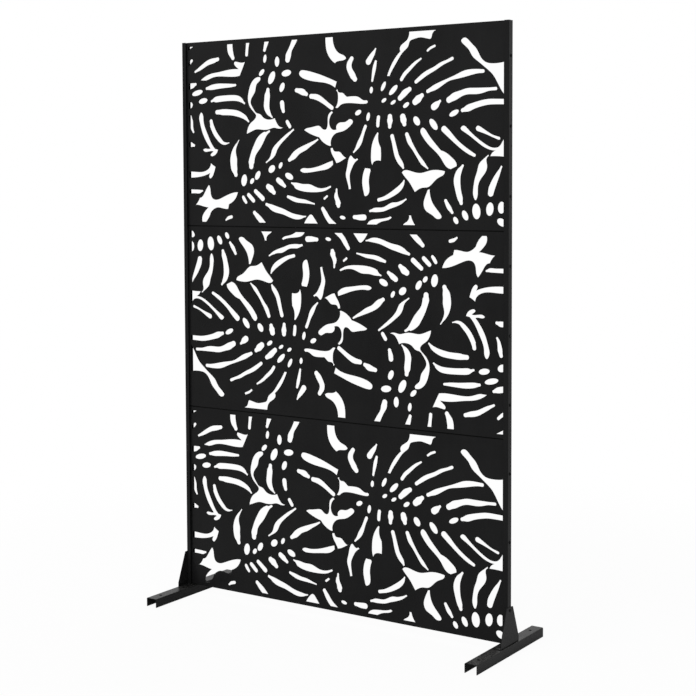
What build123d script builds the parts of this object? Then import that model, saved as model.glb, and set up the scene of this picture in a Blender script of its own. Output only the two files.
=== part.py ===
"""Free-standing laser cut metal screen: three folded steel panels stacked between two channel
posts, each post standing on a channel foot and held upright by a bent side bracket.

Millimetres.  +X runs along the screen to the viewer's right, +Y runs away from the viewer,
+Z is up.  The origin is on the floor, half way between the posts, at the middle of their depth.
"""
from build123d import *
import os

os.makedirs("parts", exist_ok=True)

# ---------------------------------------------------------------- driving sizes
screen_width = 1200.0        # outside of one post to outside of the other
panel_height = 600.0         # seam to seam
panel_gap = 0.3              # between stacked panels, and below the lowest one
panel_sheet = 1.2            # steel of the cut panels
panel_recess = 7.0           # cut face behind the front of the posts
panel_bend = 2.2             # outside radius of the folds round a panel
corner_relief = 3.0          # notch where two folded edges meet

field_side = 20.0            # plain border between post outside and cut-outs
field_end = 14.0             # plain border above and below the cut-outs

post_depth = 24.0
post_flange = 15.0           # width of the lips that face front and back
post_sheet = 1.5
post_bend = 2.0
side_play = 0.2              # panel edge to the inside of the post, each way

foot_length = 416.0
foot_width = 40.0
foot_inset = 13.0            # outside of the post to the middle of the foot
foot_height = 28.0
foot_sheet = 2.0
foot_bend = 3.0
anchor_hole = 11.0           # M10 ground anchors near the ends of the foot
anchor_pitch = 326.0

bracket_sheet = 2.0
bracket_base = 112.0         # length of the bracket along the foot
bracket_tongue = 29.0        # width of its base, from the outer face in under the post
bracket_over = 10.0          # its top above the middle of its side screw
bracket_straight = 13.0      # upright part of its sloping edges
bracket_top = 38.0
bracket_bend = 2.0           # outside radius; inside it is sharp, tight to the post
bracket_corner = 4.0

side_screw = 5.0             # M5 through post and panel edge
side_head, side_head_tall, side_socket = 9.5, 2.8, 3.0
side_nut, side_nut_tall = 8.0, 4.0
side_screw_setback = 2.0     # behind the middle of the post depth
side_stations = (1 / 6, 1 / 2, 5 / 6)

base_screw = 6.0             # M6 through bracket base and foot
base_head, base_head_tall, base_socket = 10.5, 3.3, 4.0
base_nut, base_nut_tall = 10.0, 5.0
base_pitch = 66.0
hole_clearance = 0.5         # a screw hole is this much wider than its screw
thread_clearance = 0.06      # a nut bore is this much wider than its screw

# ---------------------------------------------------------------- sizes that follow
half_width = screen_width / 2
panel_width = screen_width - 2 * (post_sheet + side_play)
panel_tall = panel_height - panel_gap
panel_front = -post_depth / 2 + panel_recess
panel_depth = post_depth - panel_recess - post_sheet - side_play
panel_bottom = foot_height + bracket_sheet + panel_gap
post_bottom = foot_height + bracket_sheet
screen_top = panel_bottom + 3 * panel_height - panel_gap
field_width = screen_width - 2 * field_side
field_height = panel_tall - 2 * field_end
foot_x = half_width - foot_inset
screw_y = side_screw_setback
base_screw_x = half_width + bracket_sheet - bracket_tongue / 2

# The leaf pattern is drawn on its own sheet and stretched from there onto the cut-out field.
drawing_left, drawing_bottom = -4.5, -1.0
drawing_width, drawing_height = 1160.0, 572.0
stretch_x = field_width / drawing_width
stretch_y = field_height / drawing_height
stretch = (stretch_x + stretch_y) / 2


# ---------------------------------------------------------------- pattern strokes
def spot(x, y):
    """A point of the drawing, placed on the field with the field centre at zero."""
    return Vector((x - drawing_left - drawing_width / 2) * stretch_x,
                  (y - drawing_bottom - drawing_height / 2) * stretch_y)


def slit(*stations):
    """A tapered curved slit along (x, y, width) stations, rounded at both ends."""
    line = [spot(x, y) for x, y, _ in stations]
    half = [width * stretch / 2 for _, _, width in stations]
    last = len(line) - 1
    along = [(line[min(i + 1, last)] - line[max(i - 1, 0)]).normalized() for i in range(last + 1)]
    across = [Vector(-a.Y, a.X) for a in along]
    left = [p + n * w for p, n, w in zip(line, across, half)]
    right = [p - n * w for p, n, w in zip(line, across, half)]
    edges = [Spline(*left, tangents=(along[0], along[-1])),
             ThreePointArc(left[-1], line[-1] + along[-1] * half[-1], right[-1]),
             Spline(*reversed(right), tangents=(along[-1] * -1, along[0] * -1)),
             ThreePointArc(right[0], line[0] - along[0] * half[0], left[0])]
    return make_face(Curve() + edges)


def eye(x, y, length, width, tilt):
    """An oval hole; tilt in degrees above the horizontal."""
    at = spot(x, y)
    return Pos(at.X, at.Y) * Rot(0, 0, tilt) * Ellipse(length * stretch / 2, width * stretch / 2)


def gap(*sides):
    """A gap between leaf edges.  Each side runs on from the last point of the side before it,
    with a corner between them; a side of one point is straight, a longer one is a smooth curve."""
    edges, start, here = [], spot(*sides[0][0]), None
    for side in sides:
        points = [spot(*point) for point in side]
        if here is not None:
            points = [here] + points
        edges.append(Line(*points) if len(points) == 2 else Spline(*points))
        here = points[-1]
    if (here - start).length > 0.01:
        edges.append(Line(here, start))
    return make_face(Curve() + edges)


# ---------------------------------------------------------------- the leaf pattern, leaf by leaf
def side_leaf():
    """The leaf that runs off the left edge, with its ribs to the right and below."""
    return [
        gap([(-13.5, 573), (-13.5, 582), (24.5, 582), (18.5, 572)], [(-5.5, 558.5), (-13, 553.5)]),
        slit((-14.5, 506, 10), (1.5, 518, 10), (10.5, 526, 9)),
        slit((25, 489, 7), (41, 496.5, 11), (61, 507.5, 14), (81, 517, 16), (101, 521.5, 16),
             (119, 525.5, 12)),
        gap([(48, 460.5), (71, 474), (91, 480), (121, 483.5), (150.5, 488), (203.5, 489.5)],
            [(191.5, 499.5), (185.5, 509), (188.5, 514.5)], [(200.5, 512.5), (212.5, 510),
             (229.5, 512)], [(218.5, 489), (208, 468.5)], [(151, 468.5), (121, 470), (96, 467),
             (81, 462), (69, 459)]),
        slit((72.5, 433, 9), (84, 434.5, 13.5), (99, 436.5, 17), (119, 438.5, 17), (149, 439, 13.5),
             (179, 439, 9.5), (190, 439.5, 7.5)),
        slit((-13, 439, 17), (6.5, 443, 18), (18.5, 446, 13.5), (25.5, 448.5, 9)),
        eye(33, 420, 45, 17, 13), eye(57, 393, 36, 17.5, 10), eye(-0.5, 379.5, 28, 21, 25),
        slit((92, 391, 7), (105, 395, 15), (126, 397.5, 19), (161, 399, 18.5), (191, 398, 18),
             (208, 393.5, 15.5), (218, 387, 10.5), (226, 380, 6)),
        slit((114, 355, 14), (133.5, 354.5, 18), (166.5, 353, 18.5), (196.5, 348.5, 19),
             (217.5, 341, 16), (233.5, 331, 11), (242, 322, 6)),
        slit((2, 343.5, 11), (5.5, 328.5, 15), (8, 311.5, 12), (11.5, 299.5, 9), (15, 293, 7)),
        slit((-12.5, 252.5, 15), (7.5, 251.5, 14.5), (16.5, 249, 9)),
        gap([(85.5, 238.5), (68.5, 260.5), (52, 291.5), (42, 323.5), (40.5, 344.5), (49, 355.5),
             (56, 346.5), (57.5, 331.5), (61.5, 312.5), (74.5, 284.5), (89.5, 255.5), (105.5, 236)],
            [(117, 233.5)], [(112, 223), (92, 212.5)], [(87, 215), (98, 227.5)], [(70, 227.5),
             (59, 230), (55.5, 234), (61, 237.5), (73, 237), (85.5, 238.5)]),
        slit((89.5, 326.5, 12.5), (92, 313, 15.5), (100.5, 295, 16), (114, 276, 15.5), (127, 263, 14),
             (140.5, 254, 9.5), (152.5, 253, 6), (162.5, 255, 3)),
        gap([(-11.5, 162.5), (25, 162), (66, 165.5), (79, 173.5), (87, 190.5)], [(97, 183), (106, 178)],
            [(101, 162.5), (95, 149.5), (86, 140.5)], [(81, 142.5), (83.5, 158)], [(60, 150),
             (25.5, 144.5), (-11.5, 144)]),
        slit((-12, 98.5, 13), (24.5, 98, 12), (41.5, 98, 10.5), (50, 100, 6)),
    ]


def hanging_leaf():
    """The leaf that hangs from the top edge with its midrib curving down."""
    return [
        slit((169, 583, 22), (169, 559.5, 22), (173, 542, 20), (181, 526.5, 13.5)),
        slit((242.5, 583, 14), (239, 558, 11.5), (236.5, 534, 11)),
        slit((320, 582, 17), (312.5, 561, 14.5), (307.5, 545, 10.5)),
        eye(309, 518, 26, 13, 80), eye(356.5, 506.5, 32, 18, 88),
        slit((430.5, 582, 19), (415.5, 554, 16.5), (405.5, 536.5, 16), (400, 521.5, 21),
             (397.5, 510.5, 18)),
        eye(296, 475, 26.5, 14.5, 43), eye(335, 457, 43, 23, 62), eye(392.5, 469, 37, 20, 8),
        eye(375.5, 425.5, 31, 18, 65),
        gap([(289.5, 460.5), (291, 454), (277, 440), (270, 417.5), (252.5, 389.5), (251.5, 383.5),
             (262, 361.5), (275, 347.5), (289, 343.5), (301, 333), (318, 326), (346, 330)],
            [(354, 314.5), (361, 305.5), (378, 299.5)], [(355, 297.5), (345, 299.5), (325, 295.5),
             (300, 294), (275, 296), (252, 289), (235, 282.5)], [(239, 299.5), (249, 315), (266, 327.5),
             (272.5, 337.5), (260, 354.5), (244, 375.5), (240, 394.5), (243, 415.5), (252, 440),
             (270, 458), (289.5, 460.5)]),
        gap([(576.5, 416.5), (582.5, 434.5)], [(560.5, 443.5), (520.5, 459), (484.5, 469.5),
             (458.5, 475), (445.5, 473), (441.5, 465), (448.5, 455), (463.5, 447.5), (500.5, 438.5),
             (540.5, 432.5), (576.5, 416.5)]),
        slit((431, 414, 13), (446.5, 410.5, 18), (459.5, 405.5, 18), (469, 400.5, 12)),
        slit((486.5, 393.5, 14.5), (504.5, 391, 17.5), (527, 380.5, 16), (549, 365.5, 13.5),
             (564, 355.5, 13)),
        slit((320, 419.5, 13), (318, 406, 20), (316, 387, 21.5), (314.5, 369, 22), (318.5, 353.5, 18.5),
             (326, 342.5, 12.5), (336, 332.5, 5)),
        slit((375, 376.5, 16.5), (377, 361.5, 15.5), (380, 350.5, 12)),
        slit((394.5, 317, 12), (399.5, 309.5, 12.5), (404.5, 302, 12)),
        gap([(541.5, 581.5), (541.5, 553), (545.5, 529.5), (556.5, 509), (576.5, 491)], [(588.5, 497),
             (612.5, 500.5), (617.5, 504.5)], [(614.5, 509), (592.5, 520.5), (577.5, 535.5), (570, 555),
             (569.5, 581)]),
        slit((637.5, 502, 14), (630.5, 491, 17), (628, 477, 19), (635.5, 460, 19.5), (644, 446.5, 19),
             (649.5, 439.5, 15.5)),
    ]


def low_leaf():
    """The wide leaf at the lower left, its midrib rising from the corner to the middle."""
    return [
        slit((202.5, 262, 3.5), (192, 247.5, 7.5), (184.5, 234, 13), (181, 218, 21), (181, 201, 28),
             (181.5, 183, 26.5), (184.5, 167, 23), (189.5, 152, 14)),
        gap([(78, 119.5), (83.5, 108.5), (86, 89), (94, 75), (106.5, 71), (130.5, 77), (165.5, 90.5),
             (197, 95.5)], [(189.5, 78.5), (160.5, 57)], [(157, 42)], [(135.5, 43.5), (111, 46),
             (96, 39.5), (85, 29.5)], [(80, 18), (61.5, -3.5)], [(50.5, -3.5)], [(51, 20), (59.5, 32),
             (75, 46.5)], [(56, 49), (39.5, 53), (22.5, 54.5)], [(34, 67.5), (39, 77)], [(51, 82),
             (59, 93), (67, 106), (78, 119.5)]),
        slit((148, 6, 6), (156.5, 12, 10), (170.5, 16, 10)), eye(223, 134, 38, 23, 80),
        slit((219, 79.5, 11), (225, 70, 12), (230, 63.5, 10)),
        slit((418, 291.5, 6), (403, 281, 8), (383, 266.5, 11), (362, 249, 13), (347, 232.5, 17.5),
             (340, 218.5, 18), (332, 206, 11), (321.5, 197, 5.5), (312, 190.5, 4.5)),
        slit((324, 288.5, 7), (311, 282, 13.5), (294, 267.5, 26), (278.5, 245.5, 28),
             (262, 220.5, 21.5), (256, 204.5, 21), (252.5, 189.5, 22), (252, 178, 17)),
        slit((402.5, 197.5, 12), (416, 207, 19), (437, 223.5, 18), (461, 234, 17), (483, 245, 11.5),
             (499, 252.5, 8), (510.5, 259, 5.5)),
        eye(333.5, 169.5, 29, 21, 38), eye(368, 180.5, 22, 13, 60), eye(277.5, 149.5, 31, 18, 58),
        eye(255, 131.5, 21, 14, 50), eye(401, 146, 33, 19, -25),
        slit((358, 134.5, 16.5), (369.5, 126.5, 18), (383.5, 115.5, 11)),
        slit((319, 113.5, 18), (328.5, 107.5, 22), (341.5, 95, 14)),
        slit((240.5, 87, 13), (250.5, 78, 14), (260, 69, 13)),
        slit((268.5, 99, 13.5), (281.5, 88.5, 15), (297, 75.5, 15.5)),
        slit((311.5, 57.5, 9), (327.5, 50.5, 15.5), (345.5, 43, 19.5), (374.5, 35.5, 17.5),
             (404.5, 24.5, 15.8), (429.5, 18.5, 15.5), (447.5, 18.5, 10.5), (463.5, 20.5, 4)),
        slit((263.5, 30.5, 12.5), (276.5, 18, 17), (293, 2.5, 17.5), (301, -6, 17.5)),
        slit((396, 82, 9), (412, 76.5, 13), (436, 70, 13), (460, 67.5, 11.5), (480, 63.5, 7.5),
             (497, 60, 4.5)),
        slit((410.5, 125, 5), (424.5, 118.5, 16), (449.5, 111, 22), (479.5, 108.5, 24),
             (500.5, 104.5, 16.5), (521.5, 103, 10.5), (541.5, 106.5, 8), (557, 113, 6)),
        gap([(566.5, 193.5), (544.5, 186.5), (514, 176.5), (489, 171.5), (467, 170.5), (451, 170),
             (444, 164.5), (452, 158.5), (467, 157), (483, 158), (519, 163), (544.5, 167), (559.5, 174),
             (568, 182)]),
        gap([(454.5, -5.5), (475, 22)], [(484, 26.5), (490, 24)], [(512.5, -5.5)]),
        slit((528.5, 45, 12.5), (537, 32, 15.5), (548, 15.5, 16.5), (562, 1.5, 17), (572, -6, 17)),
        slit((535, 76.5, 7), (545, 84, 6.5)),
        slit((580.5, 105, 6.5), (579.5, 94.5, 9.5), (579, 82.5, 15), (584, 70.5, 16.5),
             (586.5, 59.5, 17.5), (587, 55, 13.5)),
        eye(602.5, 18.5, 21, 11, -10), slit((645.5, 20.5, 12), (663, 19.5, 16.5), (681, 20, 17.5)),
    ]


def centre_gaps():
    """The star shapes where the leaf tips meet in the middle of the panel."""
    return [
        gap([(580.5, 408), (586, 399.5), (587, 389.5), (586, 373.5), (577.5, 356)], [(584, 354.5),
             (595, 362), (617, 368), (650, 366.5), (690, 364.5)], [(695.5, 369), (691, 374.5)],
            [(678, 375.5), (662, 385), (645, 388), (620, 387)], [(611, 394.5), (604, 399.5),
             (595, 400.5), (585, 412)]),
        gap([(460, 289.5), (463, 292), (484, 297), (505, 301), (518, 300.5), (530, 291), (541, 289.5),
             (547, 299.5), (548.5, 323.5), (564, 345)], [(568, 341)], [(557, 326.5), (555, 304.5),
             (562, 291.5), (581, 289)], [(580.5, 299.5), (590, 308.5), (615, 311.5), (633, 319),
             (641, 313), (631, 298), (603, 282.5), (578, 276.5), (563.5, 262.5), (560.5, 239.5)],
            [(555, 239)], [(532, 250), (516, 266.5)], [(500, 271), (484, 277), (460, 289.5)]),
        gap([(559, 231.5), (562.5, 216), (571, 201.5), (579.5, 186)], [(586, 187), (604, 195),
             (616.5, 201.5)], [(603, 210.5), (592, 220), (577, 221), (567, 232.5)]),
        gap([(660, 195.5), (646, 184.5), (637, 169.5), (630, 152.5), (629.5, 134.5), (633.5, 107)],
            [(625.5, 105)], [(620, 127.5), (614.5, 150.5), (620, 175.5), (627, 201.5), (633, 208),
             (642, 201), (656, 200)]),
        gap([(684.5, 169.5), (703, 167.5)], [(705, 161.5)], [(700.5, 146.5), (698.5, 127), (700.5, 104),
             (694, 88), (684, 85), (680, 94), (674.5, 120), (676, 145.5), (684.5, 169.5)]),
        gap([(730, 277), (717, 258.5), (709, 237), (706, 206), (708, 185), (711.5, 177)], [(718, 189),
             (726, 192), (741.5, 191)], [(742.5, 210.5), (741, 231.5)], [(733.5, 248.5),
             (733.5, 274.5)]),
        gap([(815.5, 155), (820, 160), (831.5, 162.5), (844.5, 160), (880, 153.5), (915, 161),
             (945, 161.5), (963, 158)], [(961, 151), (940, 138.5), (921, 122.5), (906, 112),
             (884.5, 109.5), (869.5, 103), (860.5, 97)], [(854.5, 106.5), (840.5, 127), (823.5, 145),
             (815.5, 155)]),
    ]


def great_leaf():
    """The large leaf on the right: eyes along its midrib and long ribs all round."""
    return [
        slit((723.5, 527, 5.5), (716.5, 515.5, 12), (706.5, 502.5, 16.5), (698, 490, 19)),
        slit((724, 489, 8.5), (721.5, 480, 11), (718, 465, 12.5), (714.5, 448.5, 10),
             (711.5, 432.5, 7.5)),
        eye(708, 404.5, 20, 12, 82),
        gap([(932.5, 580), (840.5, 580.5)], [(841, 563), (835, 549), (819, 537), (810, 528),
             (811, 515)], [(796, 500.5), (776, 471), (764, 444.5)], [(773, 443.5)], [(781, 458.5),
             (801, 487.5), (821, 513), (839, 530.5), (844, 543), (858, 549), (881, 552.5), (903, 548),
             (913.5, 546)], [(918, 551), (920, 558.5), (924.5, 566), (932.5, 570.5)]),
        slit((904.5, 512.5, 6.5), (914.5, 519.5, 7.5), (928.5, 525, 7)),
        slit((814.5, 432, 11), (825, 446.5, 12), (840.5, 460, 11.5), (856.5, 474, 10),
             (870.5, 483.5, 8), (881.5, 490, 5.5)),
        slit((865, 423, 11), (880.5, 434, 13), (903.5, 448, 13.3), (930.5, 460, 11.7),
             (952.5, 472, 10.7), (970.5, 478.5, 8.7), (987.5, 485.5, 9.5)),
        slit((905, 393.5, 11), (926, 402.5, 15.7), (951, 414, 13), (976, 425, 8.7), (1001, 432, 12.5),
             (1025.5, 439, 18), (1050.5, 443.5, 16.4), (1075.5, 445, 11.7), (1088.5, 444.5, 10.5)),
        eye(751, 414, 31, 13, 62), eye(786, 401.5, 39, 16, 44),
        slit((809.5, 377, 16), (820.5, 387, 19), (832, 396, 18), (842.5, 402, 14)),
        eye(753, 372, 19, 11, 30), eye(785.5, 365, 20, 10.5, 30), eye(830.5, 355.5, 24, 13, 32),
        slit((862, 364, 19.5), (873, 372.5, 22.5), (885, 382, 13.5)),
        slit((926, 347.5, 20.5), (936, 354.5, 18.5), (946.5, 363.5, 8)),
        slit((733.5, 322, 11.5), (731.5, 308, 12), (731, 297, 11)),
        slit((774, 323, 15.5), (774, 312, 19.5), (773, 292.5, 11.5)),
        slit((819, 321, 19), (822, 309, 21), (824.5, 299, 13.5)),
        eye(867, 307.5, 30, 20, -55), eye(924.5, 296, 39, 19.5, -52), eye(993.5, 327, 34, 15.5, 25),
        gap([(1166, 470), (1146, 466), (1121, 465), (1098, 469.5), (1081, 485), (1068, 508.5),
             (1048, 529), (1026, 543), (1017, 536), (1023, 526), (1042, 508), (1053, 490),
             (1076.5, 470), (1098.5, 452.5), (1118.5, 435), (1139.5, 401.5), (1166.5, 366.5)]),
        slit((976.5, 366, 18), (993.5, 374.5, 22.6), (1013, 382, 18.5), (1036, 388.5, 17.8),
             (1063, 388.5, 18), (1086, 389.5, 15.4), (1106, 392, 9.8), (1130, 393, 9.2)),
        slit((1021.5, 334.5, 11), (1035.5, 338.5, 18), (1055.5, 345.5, 18.3), (1080.5, 352, 17),
             (1105.5, 356, 16.3), (1130.5, 356, 15.5), (1168, 354.5, 15)),
        slit((960, 281.5, 18.5), (974, 269, 18), (990, 253.5, 14.6), (1010, 236, 13), (1032, 220, 12.6),
             (1050.5, 209, 11), (1060.5, 204, 9.5)),
        gap([(1166.5, 258.5), (1151.5, 242), (1139.5, 227), (1122.5, 224.5), (1098.5, 234),
             (1061.5, 260), (1039.5, 280), (1022.5, 289.5), (1015.5, 283), (1026.5, 272), (1056.5, 252),
             (1099.5, 223.5), (1129.5, 216.5)], [(1119.5, 211), (1112.5, 200.5)], [(1131.5, 200.5),
             (1166.5, 197.5)]),
        slit((1073, 281, 15), (1087, 274.5, 12), (1104, 266, 8), (1122, 257.5, 6.5), (1140.5, 251, 8)),
        gap([(983, 164.5), (1002.5, 173)], [(1001.5, 181), (986, 198.5), (968, 212), (950, 219)],
            [(927, 243.5), (906, 269), (896, 282.5), (887, 287), (880, 279.5), (885, 264), (907, 237),
             (941, 206.5), (953, 191), (964, 175), (983, 164.5)]),
        slit((833, 268.5, 12.5), (838.5, 255, 15), (843.5, 244.5, 15), (853.5, 230, 12),
             (865.5, 212, 10.5), (877.5, 195.5, 12), (890.5, 180, 12), (904.5, 167, 5)),
        slit((781.5, 264, 13), (787, 245, 13), (793, 222, 15), (799, 203, 15.5), (808.5, 187.5, 16),
             (818, 174, 10), (820, 169.5, 7)),
        slit((686.5, 295.5, 10.5), (681, 283, 10.5), (675.5, 269, 11), (668, 252, 15),
             (661.5, 240.5, 14.5), (653, 228, 9), (644, 218.5, 5.5)),
        eye(660.5, 338, 24, 14.5, 25), eye(696.5, 324.5, 26, 13, 78),
    ]


def low_fronds():
    """The leaf tips that rise from the bottom edge, right of the middle."""
    return [
        slit((733.5, 73.5, 10.5), (752.5, 78, 11.5), (768.5, 84.5, 14), (785.5, 93.5, 15.8),
             (800.5, 103, 17), (813, 114, 14), (820.5, 125, 8.5), (823, 131, 5)),
        slit((702.5, 39.5, 7), (716.5, 42.5, 12), (735.5, 43.5, 13), (753.5, 46, 12.5),
             (768.5, 52.5, 14), (783.5, 58, 15.5), (800.5, 61.5, 11), (815.5, 67.5, 8.5),
             (829.5, 75.5, 5)),
        gap([(689.5, -5.5), (693.5, 2), (701.5, 9.5), (712.5, 13.5), (734.5, 16), (761.5, 19.5),
             (774.5, 24)], [(779.5, 20.5)], [(765.5, 12.5), (749.5, 9.5), (737.5, 5.5), (719.5, -5.5)]),
        gap([(818, -6), (822, 2), (831, 7.5), (838, 14.5), (840, 27.5)], [(847, 27.5)], [(851, 15.5),
             (858, 3), (865, -6)]),
        gap([(905, 104), (894, 79), (890.5, 59.5), (897, 43.5), (921, 28.5), (939, 18), (951, 22),
             (942.5, 39), (919.5, 69), (913, 89), (911.5, 105)]),
        slit((1022.5, 174, 7.5), (1013.5, 162, 14.5), (1006.5, 148, 19.5), (1003.5, 129.5, 22.3),
             (1005.5, 111.5, 20.3), (1010, 91.5, 18.5), (1015, 75, 16), (1017.5, 65, 11)),
        gap([(1106, 205), (1091.5, 193.5), (1075.5, 177.5), (1070, 158.5), (1062.5, 137.5), (1057, 107),
             (1057.5, 86), (1065, 74), (1071, 85), (1072.5, 110), (1078.5, 130), (1097.5, 155),
             (1102.5, 172.5), (1100, 190.5), (1108, 201.5)]),
        slit((1148.5, 170, 5.5), (1140.5, 154.5, 10.5), (1130.5, 136.5, 16.3), (1122, 118.5, 19.5),
             (1116, 103, 20), (1114, 93.5, 18)),
        slit((965.5, 72, 10), (973, 58, 13.5), (980.5, 47, 13), (987.5, 37.5, 9)),
        eye(999.5, 14.5, 23, 15, -58), eye(1030.5, 29.5, 31, 18, -62), eye(1067.5, 41.5, 45, 27, -85),
        eye(1111.5, 48.5, 38.5, 24, 83), eye(1149, 53, 34, 23, 85), eye(1150, 10.5, 32, 21, -28),
    ]


def cut_outs():
    """Every cut-out of one panel, trimmed to the straight-sided field."""
    shapes = side_leaf() + hanging_leaf() + low_leaf() + centre_gaps() + great_leaf() + low_fronds()
    field = Rectangle(field_width, field_height)
    return [shape & field for shape in shapes]


# ---------------------------------------------------------------- pieces
def upright(sketch):
    """Turns a drawing in X and Y up into X and Z, facing the viewer."""
    return Plane.XZ * sketch


def panel():
    """One cut panel: a face with four edges folded back, centred on its face, front at Y zero."""
    outside = Pos(0, panel_depth / 2, 0) * Box(panel_width, panel_depth, panel_tall)
    outside = fillet(outside.edges().group_by(Axis.Y)[0], panel_bend)
    hollow = Pos(0, panel_sheet + panel_depth / 2, 0) * Box(
        panel_width - 2 * panel_sheet, panel_depth, panel_tall - 2 * panel_sheet)
    hollow = fillet(hollow.edges().group_by(Axis.Y)[0], panel_bend - panel_sheet)
    tray = outside - hollow
    relief = Box(2 * corner_relief, 2 * (panel_depth - panel_bend - corner_relief / 2), 2 * corner_relief)
    tray -= [Pos(sx * panel_width / 2, panel_depth, sz * panel_tall / 2) * relief
             for sx in (-1, 1) for sz in (-1, 1)]
    hole = Rot(0, 90, 0) * Cylinder((side_screw + hole_clearance) / 2, panel_width + 10)
    tray -= [Pos(0, screw_y - panel_front, (share - 0.5) * panel_height) * hole for share in side_stations]
    cutters = [extrude(upright(shape), panel_sheet * 2, both=True) for shape in cut_outs()]
    return tray - cutters


def post():
    """The left post: a channel open towards the screen, web outermost, holes for the side screws."""
    outside = Box(post_flange, post_depth, screen_top - post_bottom,
                  align=(Align.MIN, Align.CENTER, Align.MIN))
    outside = fillet(outside.edges().filter_by(Axis.Z).group_by(Axis.X)[0], post_bend)
    hollow = Pos(post_sheet, 0, 0) * Box(post_flange, post_depth - 2 * post_sheet, screen_top - post_bottom,
                                         align=(Align.MIN, Align.CENTER, Align.MIN))
    hollow = fillet(hollow.edges().filter_by(Axis.Z).group_by(Axis.X)[0], post_bend - post_sheet)
    channel = Pos(-half_width, 0, post_bottom) * (outside - hollow)
    hole = Rot(0, 90, 0) * Cylinder((side_screw + hole_clearance) / 2, 3 * post_flange)
    return channel - [Pos(-half_width, screw_y, z) * hole for z in screw_heights()]


def screw_heights():
    """Heights of the side screws, from the lowest up."""
    return [panel_bottom - panel_gap / 2 + (row + share) * panel_height
            for row in range(3) for share in side_stations]


def foot():
    """The left foot: a channel lying open side down, drilled for the bracket and the ground."""
    outside = Box(foot_width, foot_length, foot_height, align=(Align.CENTER, Align.CENTER, Align.MIN))
    outside = fillet(outside.edges().filter_by(Axis.Y).group_by(Axis.Z)[-1], foot_bend)
    hollow = Box(foot_width - 2 * foot_sheet, foot_length, foot_height - foot_sheet,
                 align=(Align.CENTER, Align.CENTER, Align.MIN))
    hollow = fillet(hollow.edges().filter_by(Axis.Y).group_by(Axis.Z)[-1], foot_bend - foot_sheet)
    channel = outside - hollow
    top = Pos(0, 0, foot_height - foot_sheet / 2)
    anchor = Cylinder(anchor_hole / 2, 3 * foot_sheet)
    channel -= [top * Pos(0, side * anchor_pitch / 2, 0) * anchor for side in (-1, 1)]
    bore = Cylinder((base_screw + hole_clearance) / 2, 3 * foot_sheet)
    channel -= [top * Pos(foot_x - base_screw_x, side * base_pitch / 2, 0) * bore for side in (-1, 1)]
    return Pos(-foot_x, 0, 0) * channel


def bracket():
    """The left bracket: a base plate under the post, folded up into a sloping cheek outside it."""
    low, straight = foot_height, foot_height + bracket_sheet + bracket_straight
    top = screw_heights()[0] + bracket_over
    cheek_outline = Polyline((-bracket_base / 2, low), (bracket_base / 2, low),
                             (bracket_base / 2, straight), (bracket_top / 2, top),
                             (-bracket_top / 2, top), (-bracket_base / 2, straight), close=True)
    outline = make_face(cheek_outline)
    outline = fillet(outline.vertices().group_by(Axis.Y)[-1], bracket_corner)
    cheek = Pos(-half_width, 0, 0) * extrude(Plane.YZ * outline, -bracket_sheet)
    base = Pos(-half_width - bracket_sheet, 0, foot_height) * Box(
        bracket_tongue, bracket_base, bracket_sheet, align=(Align.MIN, Align.CENTER, Align.MIN))
    plate = cheek + base
    bend = plate.edges().filter_by(Axis.Y).group_by(Axis.Z)[0].group_by(Axis.X)[0]
    plate = fillet(bend, bracket_bend)
    hole = Cylinder((side_screw + hole_clearance) / 2, 3 * post_flange)
    plate -= Pos(-half_width, screw_y, screw_heights()[0]) * Rot(0, 90, 0) * hole
    bore = Cylinder((base_screw + hole_clearance) / 2, 4 * bracket_sheet)
    plate -= [Pos(-base_screw_x, side * base_pitch / 2, foot_height) * bore for side in (-1, 1)]
    return plate


# ---------------------------------------------------------------- fasteners, head at Z zero, pointing down
def button_screw(width, length, head, tall, socket):
    """A round-headed socket screw, its head standing on Z zero and its shank below."""
    bulge = 2 * tall / 3
    profile = Polyline((0, -length), (width / 2 - 0.4, -length), (width / 2, 0.4 - length), (width / 2, 0),
                       (head / 2, 0), (head / 2, tall - bulge))
    crown = ThreePointArc((head / 2, tall - bulge), (head * 0.42, tall * 0.74), (socket * 0.9, tall))
    close = Polyline((socket * 0.9, tall), (0, tall), (0, -length))
    body = revolve(Plane.XZ * make_face(Curve() + [profile, crown, close]), Axis.Z)
    key = extrude(RegularPolygon(socket / 2, 6, major_radius=False), -tall * 0.6)
    return body - Pos(0, 0, tall) * key


def hex_nut(width, across, tall):
    """A hex nut lying on Z zero with its bore upright and its corners turned off."""
    prism = extrude(RegularPolygon(across / 2, 6, major_radius=False), tall)
    corner = across / 3 ** 0.5
    turned = Cylinder(corner, tall, align=(Align.CENTER, Align.CENTER, Align.MIN))
    turned = chamfer(turned.edges().filter_by(GeomType.CIRCLE), corner - across / 2)
    bore = Cylinder((width + thread_clearance) / 2, 3 * tall)
    return (prism & turned) - bore


def side_screws(heights, seat):
    """Screws into the left post from outside, their heads standing on a face at this X."""
    length = seat_depth(seat) + side_nut_tall + 1.5
    screw = button_screw(side_screw, length, side_head, side_head_tall, side_socket)
    return [Pos(-seat, screw_y, z) * Rot(0, -90, 0) * screw for z in heights]


def side_nuts(heights):
    """Nuts on the inner face of the panel edge, on the left."""
    nut = hex_nut(side_screw, side_nut, side_nut_tall)
    face = half_width - post_sheet - side_play - panel_sheet
    return [Pos(-face, screw_y, z) * Rot(0, 90, 0) * nut for z in heights]


def seat_depth(seat):
    """From a screw's seat to the inner face of the panel edge."""
    return seat - (half_width - post_sheet - side_play - panel_sheet)


def base_screws():
    """The two screws down through the left bracket and foot."""
    length = bracket_sheet + foot_sheet + base_nut_tall + 1.5
    screw = button_screw(base_screw, length, base_head, base_head_tall, base_socket)
    return [Pos(-base_screw_x, side * base_pitch / 2, foot_height + bracket_sheet) * screw
            for side in (-1, 1)]


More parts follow.
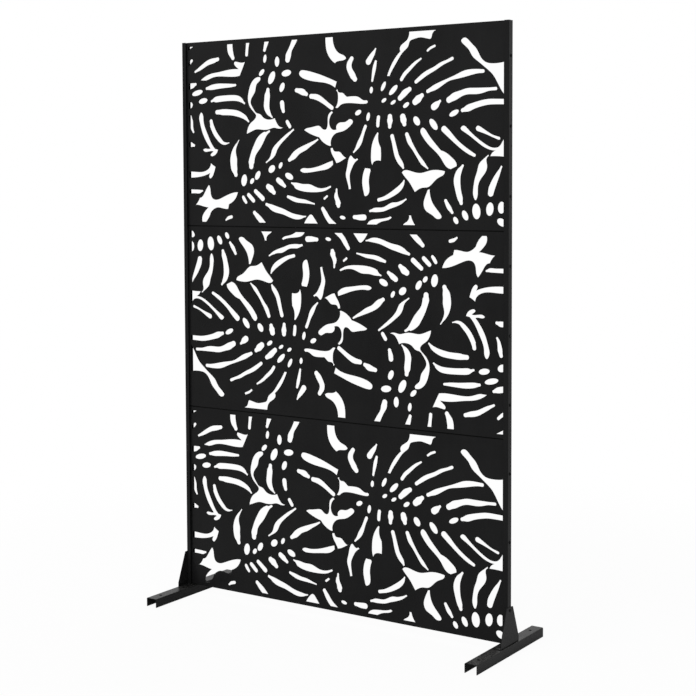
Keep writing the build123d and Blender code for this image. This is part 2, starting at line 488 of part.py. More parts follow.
def base_nuts():
    """Their nuts, under the top of the left foot."""
    nut = hex_nut(base_screw, base_nut, base_nut_tall)
    return [Pos(-base_screw_x, side * base_pitch / 2, foot_height - foot_sheet - base_nut_tall) * nut
            for side in (-1, 1)]


# ---------------------------------------------------------------- assembly
def other_side(piece):
    """The same piece on the right-hand side."""
    return mirror(piece, Plane.YZ)


def write(name, piece):
    """Writes one piece, or several alike, to its own file."""
    if isinstance(piece, list):
        piece = piece[0] if len(piece) == 1 else Compound(children=piece)
    export_step(piece, f"parts/{name}.step")


leaf_panel = panel()
turned_panel = Rot(0, 180, 0) * leaf_panel
for row, name in enumerate(("bottom", "middle", "top")):
    middle_z = panel_bottom - panel_gap / 2 + (row + 0.5) * panel_height
    write(f"panel_{name}", Pos(0, panel_front, middle_z) * (turned_panel if row == 1 else leaf_panel))

heights = screw_heights()
left_pieces = {"post": post(), "foot": foot(), "bracket": bracket(),
               "base_screws": base_screws(), "base_nuts": base_nuts(),
               "bracket_screw": side_screws(heights[:1], half_width + bracket_sheet),
               "bracket_nut": side_nuts(heights[:1])}
for row, name in enumerate(("bottom", "middle", "top")):
    own = heights[max(1, 3 * row):3 * row + 3]
    left_pieces[f"side_screws_{name}"] = side_screws(own, half_width)
    left_pieces[f"side_nuts_{name}"] = side_nuts(own)
for name, piece in left_pieces.items():
    write(f"{name}_left", piece)
    write(f"{name}_right", [other_side(one) for one in piece] if isinstance(piece, list)
          else other_side(piece))
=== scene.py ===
import math

import bmesh
import bpy
from mathutils import Matrix, Vector
from mathutils.geometry import delaunay_2d_cdt


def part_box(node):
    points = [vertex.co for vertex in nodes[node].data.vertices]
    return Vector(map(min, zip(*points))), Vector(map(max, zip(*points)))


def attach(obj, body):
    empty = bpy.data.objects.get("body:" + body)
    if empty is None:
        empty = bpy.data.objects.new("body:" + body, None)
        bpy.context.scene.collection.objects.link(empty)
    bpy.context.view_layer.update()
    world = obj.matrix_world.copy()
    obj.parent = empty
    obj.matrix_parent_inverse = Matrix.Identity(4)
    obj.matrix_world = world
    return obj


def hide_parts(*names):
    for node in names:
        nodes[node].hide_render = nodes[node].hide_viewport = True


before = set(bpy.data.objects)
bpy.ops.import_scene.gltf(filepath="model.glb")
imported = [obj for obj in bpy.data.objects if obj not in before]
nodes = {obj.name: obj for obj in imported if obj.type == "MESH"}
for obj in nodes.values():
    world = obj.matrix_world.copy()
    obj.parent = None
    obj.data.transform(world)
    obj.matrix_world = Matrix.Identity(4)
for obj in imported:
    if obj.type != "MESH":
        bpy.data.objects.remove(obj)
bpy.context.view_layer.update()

# Every size is in metres.
panel_height = 0.6           # from seam to seam
first_seam = 0.03015         # the middle of the gap under the lowest panel
same_point = 2e-6            # corners closer together than this are one corner


# ---------------------------------------------------------------- writing node trees
class Value:
    """A number that varies over a surface or along a piece, with ordinary arithmetic."""

    def __init__(self, surface, socket):
        self.surface, self.socket = surface, socket

    def math(self, operation, first, second=None):
        sockets = {0: first} if second is None else {0: first, 1: second}
        return self.surface.node("ShaderNodeMath", {"operation": operation}, sockets).value()

    def __add__(self, other):
        return self.math("ADD", self, other)

    def __radd__(self, other):
        return self.math("ADD", other, self)

    def __sub__(self, other):
        return self.math("SUBTRACT", self, other)

    def __rsub__(self, other):
        return self.math("SUBTRACT", other, self)

    def __mul__(self, other):
        return self.math("MULTIPLY", self, other)

    def __rmul__(self, other):
        return self.math("MULTIPLY", other, self)

    def __truediv__(self, other):
        return self.math("DIVIDE", self, other)

    def whole(self, operation):
        """An operation on this number alone, such as SINE or FRACT."""
        return self.math(operation, self)

    def clipped(self):
        """This number, held between 0 and 1."""
        return self.surface.node("ShaderNodeClamp", {}, {"Value": self}).value()

    def between(self, low, high):
        """0 below low, 1 above high, eased in between."""
        return self.surface.node("ShaderNodeMapRange", {"interpolation_type": "SMOOTHSTEP"},
                                 {"Value": self, "From Min": low, "From Max": high}).value()


class Made:
    """A node that has been added, with its outputs by name or number."""

    def __init__(self, surface, node):
        self.surface, self.node = surface, node

    def value(self, output=0):
        return Value(self.surface, self.node.outputs[output])

    def socket(self, output=0):
        return self.node.outputs[output]


class Tree:
    """A node tree under construction."""

    def node(self, kind, settings=None, sockets=None):
        """Adds a node of this kind, with its settings made first and then its sockets filled."""
        added = self.tree.nodes.new(kind)
        for key, setting in (settings or {}).items():
            setattr(added, key, setting)
        for key, given in (sockets or {}).items():
            for one in given if isinstance(given, list) else [given]:
                if isinstance(one, Value):
                    one = one.socket
                if isinstance(one, bpy.types.NodeSocket):
                    self.tree.links.new(one, added.inputs[key])
                else:
                    added.inputs[key].default_value = one
        return Made(self, added)

    def parts(self, vector):
        """The three numbers that a vector is made of."""
        split = self.node("ShaderNodeSeparateXYZ", {}, {0: vector})
        return [split.value(axis) for axis in "XYZ"]


class Surface(Tree):
    """One material under construction."""

    def __init__(self, name):
        self.material = bpy.data.materials.new(name)
        self.material.use_nodes = True
        self.tree = self.material.node_tree
        self.tree.nodes.clear()

    def place(self, stretch=(1, 1, 1), shift=(0, 0, 0)):
        """Object coordinates in metres, stretched or shifted."""
        at = self.node("ShaderNodeTexCoord").socket("Object")
        if stretch == (1, 1, 1) and shift == (0, 0, 0):
            return at
        return self.node("ShaderNodeMapping", {}, {
            "Vector": at, "Scale": stretch, "Location": shift}).socket()

    def noise(self, size, detail=2.0, rough=0.5, stretch=(1, 1, 1), shift=(0, 0, 0)):
        """Cloudy noise from 0 to 1 whose blotches are about this many metres across."""
        return self.node("ShaderNodeTexNoise", {"noise_dimensions": "3D"}, {
            "Vector": self.place(stretch, shift), "Scale": 1 / size, "Detail": detail,
            "Roughness": rough}).value("Fac")

    def blend(self, amount, first, second):
        """Colour first where amount is 0, second where it is 1."""
        first, second = (colour if isinstance(colour, bpy.types.NodeSocket) else (*colour, 1)
                         for colour in (first, second))
        return self.node("ShaderNodeMix", {"data_type": "RGBA"}, {
            0: amount, 6: first, 7: second}).socket(2)

    def bump(self, height, depth):
        """Bump from a height of 0 to 1 that stands for this many metres."""
        return self.node("ShaderNodeBump", {}, {
            "Height": height, "Distance": depth, "Strength": 1.0}).socket()

    def finish(self, **sockets):
        """Ends the material in one shader with these sockets filled."""
        names = {"colour": "Base Color", "rough": "Roughness", "metal": "Metallic",
                 "gloss": "Specular IOR Level", "normal": "Normal"}
        given = {names[key]: value for key, value in sockets.items()}
        shader = self.node("ShaderNodeBsdfPrincipled", {}, given)
        self.node("ShaderNodeOutputMaterial", {}, {"Surface": shader.socket()})
        return self.material


# ---------------------------------------------------------------- finishes
coat_black = (0.0092, 0.0092, 0.0094)
darkest_grain, palest_grain = 0.48, 1.6      # shares of that black
dust_grey = (0.157, 0.152, 0.147)
# Painted shadow in the groove where two panels meet: its colour, and how far it reaches from the
# seam.
seam_shadow_colour = (0.0015, 0.0015, 0.0015)
seam_shadow_full, seam_shadow_end = 0.0010, 0.0032       # painted seam shadow: full within the first distance, none beyond the second
peel_depth, turning_depth, plating_depth = 0.00009, 0.00003, 0.00002


def powder_coat(name, gloss, dusty, shift, seam_shadows=False):
    """Black polyester powder coat: orange peel, a fine grain, uneven sheen, and settled dust."""
    s = Surface(name)
    peel = s.noise(0.0022, 1.5, 0.45, shift=shift)
    grain = s.noise(0.00055, 2.0, 0.6, shift=shift)
    sheen = s.noise(0.19, 3.0, 0.55, shift=shift).between(0.3, 0.7)
    wipe = s.noise(0.03, 3.0, 0.6, stretch=(1, 1, 0.25), shift=shift)
    speck = grain.between(0.36, 0.64)

    facing_up = s.parts(s.node("ShaderNodeNewGeometry").socket("Normal"))[2]
    height = s.parts(s.place())[2]
    near_floor = 1 - height.between(0.02, 0.22)
    settled = s.noise(0.006, 4.0, 0.6, shift=shift).between(0.3, 0.8)
    dust = (facing_up.between(0.35, 0.95) * 0.55 + near_floor * 0.03) * settled * dusty

    dark, pale = (tuple(c * share for c in coat_black) for share in (darkest_grain, palest_grain))
    tone = (speck * 0.62 + sheen * 0.23 + wipe * 0.15).clipped()
    colour = s.blend(dust, s.blend(tone, dark, pale), dust_grey)
    rough = 0.27 + sheen * 0.05 + (wipe - 0.5) * 0.10 + (speck - 0.5) * 0.14 + dust * 0.4
    # Painted shadow: the coat is darkened and dulled along each seam, where shade falls in the
    # groove between panels.
    if seam_shadows:
        rows_up = (height - first_seam) / panel_height
        off_seam = (0.5 - (rows_up.whole("FRACT") - 0.5).whole("ABSOLUTE")) * panel_height
        shade = 1 - off_seam.between(seam_shadow_full, seam_shadow_end)
        colour = s.blend(shade, colour, seam_shadow_colour)
        rough = rough + shade * 0.35
    normal = s.bump(peel * 0.65 + grain * 0.35, peel_depth)
    return s.finish(colour=colour, rough=rough.clipped(), gloss=gloss, normal=normal)


def black_steel(name):
    """Black oxide on machined steel, clouded, with fine turning marks."""
    s = Surface(name)
    turned = s.noise(0.0006, 2.0, 0.6, stretch=(3, 1, 1))
    cloud = s.noise(0.004, 3.0, 0.5)
    colour = s.blend(cloud.between(0.3, 0.7), (0.003, 0.003, 0.0032), (0.008, 0.008, 0.0086))
    rough = 0.30 + cloud * 0.16 + (turned - 0.5) * 0.14
    return s.finish(colour=colour, rough=rough.clipped(), gloss=0.12,
                    normal=s.bump(turned, turning_depth))


def zinc(name):
    """Bright zinc plating on steel, slightly clouded."""
    s = Surface(name)
    cloud = s.noise(0.0035, 3.0, 0.55)
    grain = s.noise(0.0005, 2.0, 0.6)
    colour = s.blend(cloud.between(0.3, 0.7), (0.46, 0.46, 0.45), (0.62, 0.62, 0.60))
    rough = 0.26 + cloud * 0.18 + (grain - 0.5) * 0.12
    return s.finish(colour=colour, rough=rough.clipped(), metal=1.0,
                    normal=s.bump(grain, plating_depth))


finish_for = {
    # the panels carry a painted shadow along each seam
    "panel": powder_coat("panel_powder_coat", 0.085, 0.02, (0, 0, 0), seam_shadows=True),
    "post": powder_coat("post_powder_coat", 0.08, 0.02, (3.1, 0, 0)),
    "bracket": powder_coat("bracket_powder_coat", 0.08, 0.3, (0, 5.3, 0)),
    "foot": powder_coat("foot_powder_coat", 0.09, 0.62, (0, 0, 7.7)),
    "screw": black_steel("black_screw_steel"),
    "nut": zinc("zinc_plated_steel"),
}
slot_for = {"screw": "black_screw_steel", "nut": "zinc_plated_steel"}


def kind_of(name):
    """The sort of piece that a node holds: a nut, screw, panel, post, bracket or foot."""
    for kind in ("nut", "screw"):
        if kind in name:
            return kind
    return name.split("_")[0]


def dress(piece, finish):
    piece.data.materials.clear()
    piece.data.materials.append(finish)


for name, piece in nodes.items():
    dress(piece, finish_for[kind_of(name)])


def stand_in(name, mesh):
    """Puts a finished mesh in the place of the plain piece of this name."""
    piece = bpy.data.objects.new(f"{name}_finished", mesh)
    bpy.context.scene.collection.objects.link(piece)
    dress(piece, finish_for[kind_of(name)])
    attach(piece, "root")
    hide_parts(name)
    slot_for.get(kind_of(name), "black_powder_coat")
    return piece


# ---------------------------------------------------------------- screws and nuts
threaded_turns = 3.2         # at a screw's end; the rest of its shank is plain
point_length = 0.0005        # the last bit of a thread
point_step = 0.0004          # and how much thinner it is at its end
rim_rings, rim_tall = 0.25, 0.3      # shares of a head's rings and height below its dome
socket_land = 0.9            # radius of the flat round a socket, as a share of the socket's width
socket_floor = 0.38          # a socket's floor, as a share of the head's height
chamfer_slope = 0.577        # of a nut's turned corners
corner_spare = 1.002         # the drum that trims a nut stands this much past its corners
countersink = 0.0005
bore_play = 0.00004
lap = 0.0001                 # how far one body is made to run into the next
head_sides, shank_sides, nut_sides = 44, 28, 48
head_rings, thread_rings, nut_rings = 8, 20, 3
turned_sharp = math.radians(35)
seed = 11


class Turnery(Tree):
    """A recipe that puts one turned piece, made from named sizes, on every seat it is given."""

    def __init__(self, name, sizes):
        self.tree = bpy.data.node_groups.new(name, "GeometryNodeTree")
        self.inputs = {}

        def face(label, kind, way="INPUT"):
            self.inputs[label] = self.tree.interface.new_socket(
                label, in_out=way, socket_type=f"NodeSocket{kind}")

        face("Seats", "Geometry")
        face("Facing", "Vector")
        for label in sizes:
            face(label, "Float")
        face("Finished", "Geometry", "OUTPUT")
        self.given = self.node("NodeGroupInput")

    def size(self, label):
        return self.given.value(label)

    def drum(self, corners, rings, radius, depth):
        return self.node("GeometryNodeMeshCylinder", {}, {
            "Vertices": corners, "Side Segments": rings, "Radius": radius,
            "Depth": depth}).socket("Mesh")

    def vector(self, x, y, z):
        return self.node("ShaderNodeCombineXYZ", {}, {"X": x, "Y": y, "Z": z}).socket()

    def lift(self, mesh, height):
        return self.node("GeometryNodeTransform", {}, {
            "Geometry": mesh, "Translation": self.vector(0.0, 0.0, height)}).socket()

    def turned(self, corners, rings, profile):
        """A drum shaped by a profile, which says the radius and height of each of its points
        from how far up a plain drum, and how far round it, the point lies."""
        x, y, z = self.parts(self.node("GeometryNodeInputPosition").socket())
        radius, height = profile(z + 0.5, y.math("ARCTAN2", y, x) / (2 * math.pi))
        return self.node("GeometryNodeSetPosition", {}, {
            "Geometry": self.drum(corners, rings, 1.0, 1.0),
            "Position": self.vector(x * radius, y * radius, height)}).socket()

    def combine(self, operation, meshes, cutter=None):
        sockets = {"Mesh 2": meshes} if cutter is None else {"Mesh 1": meshes, "Mesh 2": cutter}
        settings = {"operation": operation, "solver": "EXACT"}
        return self.node("GeometryNodeMeshBoolean", settings, sockets).socket()

    def end(self, mesh, finish):
        """One piece on each seat, turned about its own axis by a fixed chance amount."""
        chance = self.node("FunctionNodeRandomValue", {"data_type": "FLOAT"}, {
            "Max": math.pi, "Seed": seed})
        spin = self.node("FunctionNodeAxisAngleToRotation", {}, {
            "Axis": (0, 0, 1), "Angle": next(o for o in chance.node.outputs if o.enabled)})
        aim = self.node("FunctionNodeAlignRotationToVector", {"axis": "Z"}, {
            "Vector": self.given.socket("Facing")})
        both = self.node("FunctionNodeRotateRotation", {"rotation_space": "LOCAL"}, {
            "Rotation": aim.socket(), "Rotate By": spin.socket()})
        placed = self.node("GeometryNodeInstanceOnPoints", {}, {
            "Points": self.given.socket("Seats"), "Instance": mesh, "Rotation": both.socket()})
        real = self.node("GeometryNodeRealizeInstances", {}, {0: placed.socket()})
        coated = self.node("GeometryNodeSetMaterial", {}, {
            "Geometry": real.socket(), "Material": finish})
        self.node("NodeGroupOutput", {}, {"Finished": coated.socket()})

    def put(self, name, seats, facing, sizes):
        """Makes the pieces for one node at these seats and puts them in its place."""
        mesh = bpy.data.meshes.new(name)
        mesh.from_pydata(seats, [], [])
        bench = bpy.data.objects.new("bench", mesh)
        bpy.context.scene.collection.objects.link(bench)
        work = bench.modifiers.new("turnery", "NODES")
        work.node_group = self.tree
        for label, amount in {"Facing": facing, **sizes}.items():
            work[self.inputs[label].identifier] = amount
        now = bpy.context.evaluated_depsgraph_get()
        made = bpy.data.meshes.new_from_object(bench.evaluated_get(now))
        bpy.data.objects.remove(bench)
        made.shade_smooth()
        made.set_sharp_from_angle(angle=turned_sharp)
        stand_in(name, made)


def button_screw():
    """A round-headed socket screw on Z zero, its shank below it and its last turns threaded."""
    labels = ["Thread", "Length", "Head width", "Head height", "Socket", "Pitch"]
    t = Turnery("button_screw", labels)
    thread, length, width, tall, socket, pitch = (t.size(label) for label in labels)
    tip = pitch * threaded_turns

    def dome(up, _):
        """A short straight rim, then a quarter round that ends in a flat round the socket."""
        slope = ((up - rim_rings) / (1 - rim_rings)).clipped() * (math.pi / 2)
        flat = socket * socket_land
        rim = (up / rim_rings).clipped() * rim_tall
        return (flat + (width / 2 - flat) * slope.whole("COSINE"),
                tall * (rim + slope.whole("SINE") * (1 - rim_tall)))

    def threads(up, around):
        down = up * tip - length
        groove = ((down / pitch - around).whole("FRACT") - 0.5).whole("ABSOLUTE") * 2
        point = 1 - ((down + length) / point_length).clipped()
        return thread / 2 - pitch * 0.5 * groove - point * point_step, down

    head = t.turned(head_sides, head_rings, dome)
    key = t.lift(t.drum(6, 1, socket / math.sqrt(3), tall), tall * (socket_floor + 0.5))
    plain = length - tip
    shank = t.lift(t.drum(shank_sides, 1, thread / 2, plain + 2 * lap), lap - plain / 2)
    parts = [t.combine("DIFFERENCE", head, key), shank,
             t.turned(shank_sides, thread_rings, threads)]
    joined_up = t.node("GeometryNodeJoinGeometry", {}, {"Geometry": parts})
    t.end(joined_up.socket(), finish_for["screw"])
    return t


def hex_nut():
    """A hex nut standing on Z zero, its corners turned off and its bore countersunk."""
    labels = ["Thread", "Across flats", "Height"]
    t = Turnery("hex_nut", labels)
    thread, across, tall = (t.size(label) for label in labels)
    corner = across / math.sqrt(3)
    off = corner - across / 2

    def stations(up):
        """How far towards an end, from 0 at the inner rings to 1, and which end, -1 or 1."""
        side, inner = up * 2 - 1, 1 / nut_rings
        return ((side.whole("ABSOLUTE") - inner) / (1 - inner)).clipped(), side.whole("SIGN")

    def outside(up, _):
        end, side = stations(up)
        return (corner * corner_spare - end * off,
                tall / 2 + side * (tall / 2 - off * chamfer_slope * (1 - end)))

    def bore(up, _):
        end, side = stations(up)
        return (thread / 2 + bore_play + end * countersink,
                tall / 2 + side * (tall / 2 + lap - countersink * (1 - end)))

    prism = t.lift(t.drum(6, 1, corner, tall), tall / 2)
    solid = t.combine("INTERSECT", [prism, t.turned(nut_sides, nut_rings, outside)])
    bored = t.combine("DIFFERENCE", solid, t.turned(shank_sides, nut_rings, bore))
    t.end(bored, finish_for["nut"])
    return t


half_width, bracket_sheet = 0.6, 0.002
screw_y, nut_x = 0.002, 0.5971                # the nuts stand on the panel's folded edge
base_x, base_y = 0.5875, 0.033
bracket_floor, under_foot = 0.030, 0.026
side_screw_past = 0.0055                      # its nut, and the end that stands out of the nut
base_screw_length = 0.0105
m5 = {"Thread": 0.005, "Head width": 0.0095, "Head height": 0.0028, "Socket": 0.003,
      "Pitch": 0.0008}
m6 = {"Thread": 0.006, "Head width": 0.0105, "Head height": 0.0033, "Socket": 0.004,
      "Pitch": 0.001}
m5_nut = {"Thread": 0.005, "Across flats": 0.008, "Height": 0.004}
m6_nut = {"Thread": 0.006, "Across flats": 0.010, "Height": 0.005}

heights = [first_seam + (row + share) * panel_height
           for row in range(3) for share in (1 / 6, 1 / 2, 5 / 6)]
rows_of = {"bracket_screw": heights[:1], "side_screws_bottom": heights[1:3],
           "side_screws_middle": heights[3:6], "side_screws_top": heights[6:]}
screws, nuts = button_screw(), hex_nut()
for side, sign in (("left", -1), ("right", 1)):
    for name, own in rows_of.items():
        seat = half_width + (bracket_sheet if name == "bracket_screw" else 0)
        screws.put(f"{name}_{side}", [(sign * seat, screw_y, z) for z in own], (sign, 0, 0),
                   {**m5, "Length": seat - nut_x + side_screw_past})
        nuts.put(f"{name.replace('screw', 'nut')}_{side}",
                 [(sign * nut_x, screw_y, z) for z in own], (-sign, 0, 0), m5_nut)
    ends = (-base_y, base_y)
    screws.put(f"base_screws_{side}", [(sign * base_x, y, bracket_floor) for y in ends],
               (0, 0, 1), {**m6, "Length": base_screw_length})
    nuts.put(f"base_nuts_{side}", [(sign * base_x, y, under_foot) for y in ends],
             (0, 0, -1), m6_nut)


# ---------------------------------------------------------------- folded channels with eased edges
ease_of = {"post": 0.0003, "foot": 0.0004, "bracket": 0.0004}
one_flat = math.radians(0.4)         # faces that turn less than this are one flat
sharp_edge = math.radians(40)
face_weight = 60                     # how much a large face outweighs a small one in the shading


def joined(name):
    """A plain piece's mesh with its loose triangles joined at their corners."""
    shape = bmesh.new()
    shape.from_mesh(nodes[name].data)
    bmesh.ops.remove_doubles(shape, verts=shape.verts, dist=same_point)
    return shape


def smoothed(shape, mesh):
    """Moves a shape into a mesh, all of it shaded smooth."""
    for face in shape.faces:
        face.smooth = True
    shape.to_mesh(mesh)
    shape.free()
    return mesh


def shade_evenly(piece):
    """Keeps the large faces flat in the shading, with all the turn in the folds and edges."""
    weighted = piece.modifiers.new("even_shading", "WEIGHTED_NORMAL")
    weighted.keep_sharp, weighted.weight = True, face_weight


def ease_edges(name, ease):
    """Breaks the sharp edges of a bent sheet piece, as a coat of powder does."""
    shape = joined(name)
    bmesh.ops.dissolve_limit(shape, angle_limit=one_flat, verts=shape.verts, edges=shape.edges)
    piece = stand_in(name, smoothed(shape, bpy.data.meshes.new(name)))
    bevel = piece.modifiers.new("eased_edges", "BEVEL")
    bevel.width, bevel.segments, bevel.profile = ease, 2, 0.5
    bevel.limit_method, bevel.angle_limit = "ANGLE", sharp_edge
    bevel.use_clamp_overlap = True
    shade_evenly(piece)


for side in ("left", "right"):
    for kind, ease in ease_of.items():
        ease_edges(f"{kind}_{side}", ease)


# ---------------------------------------------------------------- cut panels
panel_sheet = 0.0012
edge_ease = 0.00016          # rounding of the cut edges under the coat
outline_error = 0.00002      # how far a cut-out's outline may leave its smooth curve
most_pieces = 8              # that one run of an outline is divided into
corner_turn = math.radians(13)
panel_sharp = math.radians(55)
sharpest_mitre = 0.5         # a corner moves no more than twice as far as its sides do
upright = 0.01               # the most that the normal of a cut wall leans to the front
weld = 1e-6                  # joins the new flats to the old folds


def turn_between(first, second):
    return abs(first.angle_signed(second, 0.0))


def outline_loops(shape, chosen):
    """The closed outlines round a set of faces, as lists of vertices in order."""
    chosen = set(chosen)
    border = [e for e in shape.edges if sum(f in chosen for f in e.link_faces) == 1]
    at = {}
    for edge in border:
        for vert in edge.verts:
            at.setdefault(vert, []).append(edge)
    left, loops = set(border), []
    for edge in border:
        if edge not in left:
            continue
        loop, vert = [], edge.verts[0]
        while edge in left:
            left.remove(edge)
            loop.append(vert)
            vert = edge.other_vert(vert)
            edge = next((e for e in at[vert] if e in left), edge)
        loops.append(loop)
    return loops


def area(points):
    """The area inside an outline, below zero where it runs clockwise."""
    return sum(a.x * b.y - b.x * a.y for a, b in zip(points, points[1:] + points[:1])) / 2


def smooth_outline(points):
    """More points on a cut-out's curved runs, with its corners and straight runs kept."""
    count = len(points)
    runs = [points[(i + 1) % count] - points[i] for i in range(count)]
    corner = [turn_between(runs[i - 1], runs[i]) > corner_turn for i in range(count)]
    along = []
    for i in range(count):
        before, after = runs[i - 1], runs[i]
        total = before.length + after.length
        mean = (before.normalized() * after.length + after.normalized() * before.length) / total
        along.append(mean.normalized())
    finer = []
    for i, start in enumerate(points):
        following = (i + 1) % count
        run, end = runs[i], points[following]
        chord, first, last = run.normalized(), along[i], along[following]
        if corner[i] and corner[following]:
            first = last = chord
        elif corner[i]:
            first = chord * (2 * chord.dot(last)) - last
        elif corner[following]:
            last = chord * (2 * chord.dot(first)) - first
        # An arc of this turn stands so far off its chord; the curve is a cubic through both ends.
        bow = run.length * turn_between(first, last) / 8
        pieces = max(1, min(most_pieces, math.ceil(math.sqrt(bow / outline_error))))
        for step in range(pieces):
            t = step / pieces
            finer.append(start * (2 * t**3 - 3 * t**2 + 1) + end * (3 * t**2 - 2 * t**3)
                         + (first * (t**3 - 2 * t**2 + t) + last * (t**3 - t**2)) * run.length)
    return finer


def grown(points, by):
    """A cut-out's outline moved into the metal all round."""
    outward = 1 if area(points) > 0 else -1
    moved = []
    for before, here, after in zip(points[-1:] + points[:-1], points, points[1:] + points[:1]):
        a, b = (here - before).normalized(), (after - here).normalized()
        across = Vector((a.y + b.y, -a.x - b.x)).normalized()
        mitre = max(sharpest_mitre, across.dot(Vector((a.y, -a.x))))
        moved.append(here + across * (outward * by / mitre))
    return moved


def inside(point, outline):
    """Whether a point lies in an outline, told by how often a line to its right crosses it."""
    crossings = 0
    for a, b in zip(outline, outline[1:] + outline[:1]):
        if (a.y > point.y) != (b.y > point.y):
            if point.x < a.x + (point.y - a.y) * (b.x - a.x) / (b.y - a.y):
                crossings += 1
    return crossings % 2 == 1


def filled(rim, holes):
    """Triangles over a sheet with holes, as numbers into the rim's points and then the holes'."""
    points, edges, owner = [], [], []
    for number, loop in enumerate([rim] + holes):
        base = len(points)
        points += loop
        owner += [number] * len(loop)
        edges += [(base + i, base + (i + 1) % len(loop)) for i in range(len(loop))]
    within_rim, tolerance = 1, 1e-9
    _, _, triangles, source, _, _ = delaunay_2d_cdt(points, edges, [], within_rim, tolerance)
    number_of = [originals[0] for originals in source]
    kept = []
    for triangle in triangles:
        corners = [number_of[i] for i in triangle]
        owners = {owner[i] for i in corners}
        if len(owners) == 1 and 0 not in owners:
            middle = (points[corners[0]] + points[corners[1]] + points[corners[2]]) / 3
            if inside(middle, holes[owner[corners[0]] - 1]):
                continue
        kept.append(corners)
    return kept


def cut_panel(name):
    """The panel with smooth cut-outs whose edges are eased, and its folded edges as they are."""
    shape = joined(name)
    front_y = min(v.co.y for v in shape.verts)
    back_y = front_y + panel_sheet

    def level(face, y):
        return all(abs(v.co.y - y) < same_point for v in face.verts)

    def outlines(faces):
        """The outlines round some faces, seen from the front, with the panel's own rim first."""
        flat = [[Vector((v.co.x, v.co.z)) for v in loop] for loop in outline_loops(shape, faces)]
        return sorted(flat, key=lambda loop: -abs(area(loop)))

    front = [f for f in shape.faces if level(f, front_y)]
    back = [f for f in shape.faces if level(f, back_y)]
    walls = [f for f in shape.faces if abs(f.normal.y) < upright
             and all(v.co.y < back_y + same_point for v in f.verts)]
    front_rim, *cut_outs = outlines(front)
    back_rim = outlines(back)[0]
    bmesh.ops.delete(shape, geom=front + back + walls, context="FACES")
    shape.verts.index_update()
    points = [v.co.copy() for v in shape.verts]
    faces = [[v.index for v in f.verts] for f in shape.faces]
    shape.free()

    cut = [smooth_outline(loop) for loop in cut_outs]
    eased = [grown(loop, edge_ease) for loop in cut]

    def add(loop, y):
        points.extend(Vector((p.x, y, p.y)) for p in loop)
        return list(range(len(points) - len(loop), len(points)))

    # Each cut-out has four rings: its wide edge in front, its wall, and its wide edge at the back.
    rings = [[add(wide, front_y), add(tight, front_y + edge_ease), add(tight, back_y - edge_ease),
              add(wide, back_y)] for tight, wide in zip(cut, eased)]
    for side, rim, y in ((0, front_rim, front_y), (3, back_rim, back_y)):
        numbers = add(rim, y)
        for ring in rings:
            numbers += ring[side]
        for a, b, c in filled(rim, eased):
            a, b, c = numbers[a], numbers[b], numbers[c]
            turn = (points[b] - points[a]).cross(points[c] - points[a]).y
            faces.append([a, b, c] if (turn < 0) == (side == 0) else [a, c, b])
    for ring, loop in zip(rings, cut):
        for near, far in zip(ring, ring[1:]):
            for i in range(len(loop)):
                j = (i + 1) % len(loop)
                quad = [near[i], near[j], far[j], far[i]]
                faces.append(quad if area(loop) < 0 else quad[::-1])
    mesh = bpy.data.meshes.new(name)
    mesh.from_pydata(points, [], faces)
    shape = bmesh.new()
    shape.from_mesh(mesh)
    bmesh.ops.remove_doubles(shape, verts=shape.verts, dist=weld)
    smoothed(shape, mesh).set_sharp_from_angle(angle=panel_sharp)
    return mesh


cut_mesh = cut_panel("panel_bottom")
low, high = (Vector(corner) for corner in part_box("panel_bottom"))
middle_z = (low.z + high.z) / 2
half_turn = (Matrix.Translation((0, 0, middle_z)) @ Matrix.Rotation(math.pi, 4, "Y")
             @ Matrix.Translation((0, 0, -middle_z)))
for row, name in enumerate(("panel_bottom", "panel_middle", "panel_top")):
    mesh = cut_mesh.copy()
    turn = half_turn if row == 1 else Matrix()
    mesh.transform(Matrix.Translation((0, 0, row * panel_height)) @ turn)
    shade_evenly(stand_in(name, mesh))


# ---------------------------------------------------------------- floor, light and camera
floor_half, floor_drop = 40, 0.0003
paper_grey, near_white, full_white = 0.86, 0.95, 1.0
white_from, white_to = 1.1, 2.6      # the floor turns fully white between these distances
mirrored_share = 0.15                # how white the floor is to a ray mirrored in the coat
room_light = 0.62


def grey(level):
    return (level, level, level, 1)


def rays(tree, *kinds):
    """A number for each of these kinds of ray, 1 where a ray is of that kind."""
    path = tree.node("ShaderNodeLightPath")
    return [path.value(f"Is {kind} Ray") for kind in kinds]


floor_mesh = bpy.data.meshes.new("studio_floor")
shape = bmesh.new()
bmesh.ops.create_grid(shape, x_segments=1, y_segments=1, size=floor_half)
shape.to_mesh(floor_mesh)
shape.free()
floor = bpy.data.objects.new("studio_floor", floor_mesh)
bpy.context.scene.collection.objects.link(floor)
floor.location.z = -floor_drop

paper = Surface("floor_paper")
matt = paper.node("ShaderNodeBsdfDiffuse", {}, {"Color": grey(paper_grey)})
glow = paper.node("ShaderNodeEmission", {}, {"Color": grey(1), "Strength": full_white})
away = paper.node("ShaderNodeVectorMath", {"operation": "LENGTH"}, {0: paper.place()})
fade = away.value("Value").between(white_from, white_to)
seen, through, mirrored = rays(paper, "Camera", "Transmission", "Glossy")
white = ((seen + through + mirrored * mirrored_share).clipped()
         * (near_white + fade * (full_white - near_white)))
mixed = paper.node("ShaderNodeMixShader", {}, {0: white, 1: matt.socket(), 2: glow.socket()})
paper.node("ShaderNodeOutputMaterial", {}, {"Surface": mixed.socket()})
dress(floor, paper.material)

world = bpy.data.worlds.new("studio")
world.use_nodes = True
bpy.context.scene.world = world


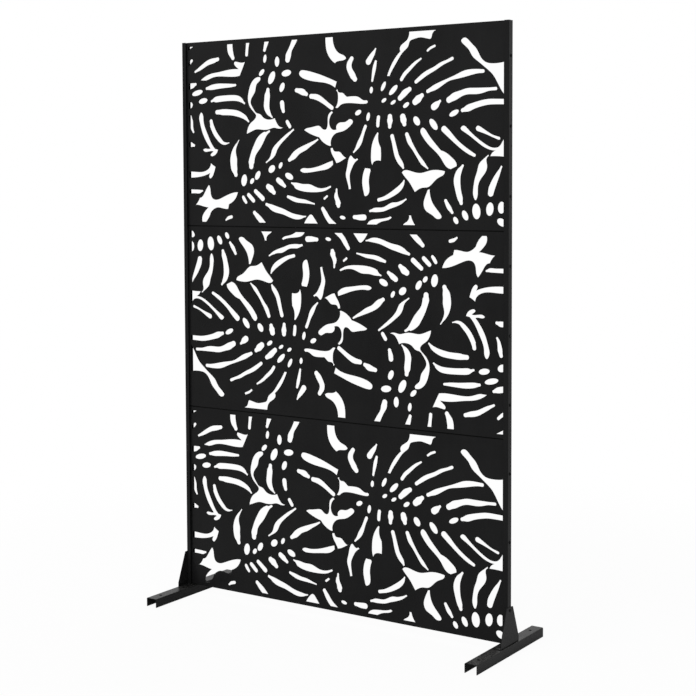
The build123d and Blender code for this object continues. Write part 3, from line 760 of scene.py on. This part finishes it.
class Room(Tree):
    """The nodes of the studio round the screen."""

    def __init__(self, given):
        self.tree = given.node_tree
        self.tree.nodes.clear()


room = Room(world)
soft = room.node("ShaderNodeBackground", {}, {"Color": grey(1), "Strength": room_light})
plain = room.node("ShaderNodeBackground", {}, {"Color": grey(1), "Strength": full_white})
seen, mirrored, through = rays(room, "Camera", "Glossy", "Transmission")
both = room.node("ShaderNodeMixShader", {}, {
    0: (seen + mirrored + through).clipped(), 1: soft.socket(), 2: plain.socket()})
room.node("ShaderNodeOutputWorld", {}, {"Surface": both.socket()})


def lamp(name, place, target, width, height, power):
    data = bpy.data.lights.new(name, "AREA")
    data.shape, data.size, data.size_y, data.energy = "RECTANGLE", width, height, power
    made = bpy.data.objects.new(name, data)
    made.location = place
    made.rotation_mode = "QUATERNION"
    made.rotation_quaternion = (Vector(target) - Vector(place)).to_track_quat("-Z", "Y")
    bpy.context.scene.collection.objects.link(made)


lamp("key_softbox", place=(-0.7, -3.6, 4.2), target=(0, 0, 0.8),
     width=2.6, height=1.8, power=75)
lamp("back_softbox", place=(-1.8, 3.2, 3.4), target=(0, 0, 0.7),
     width=2.4, height=1.6, power=34)

camera_place = (2.5308, -3.7577, 1.3820)
camera_heading, camera_dip, camera_roll = 34.165, 3.3349, -0.2438       # degrees
lens, sensor, furthest = 75.975, 36.0, 200
lens_shift = (0.02427, -0.11975)

camera_data = bpy.data.cameras.new("camera")
camera_data.lens, camera_data.sensor_width = lens, sensor
camera_data.shift_x, camera_data.shift_y = lens_shift
camera_data.clip_end = furthest
camera = bpy.data.objects.new("camera", camera_data)
camera.location = camera_place
turns = ((camera_heading, "Z"), (90 - camera_dip, "X"), (camera_roll, "Z"))
heading, tilt, roll = (Matrix.Rotation(math.radians(turn), 3, axis) for turn, axis in turns)
camera.rotation_mode = "QUATERNION"
camera.rotation_quaternion = (heading @ tilt @ roll).to_quaternion()
bpy.context.scene.collection.objects.link(camera)
bpy.context.scene.camera = camera
bpy.context.scene.view_settings.view_transform = "Standard"
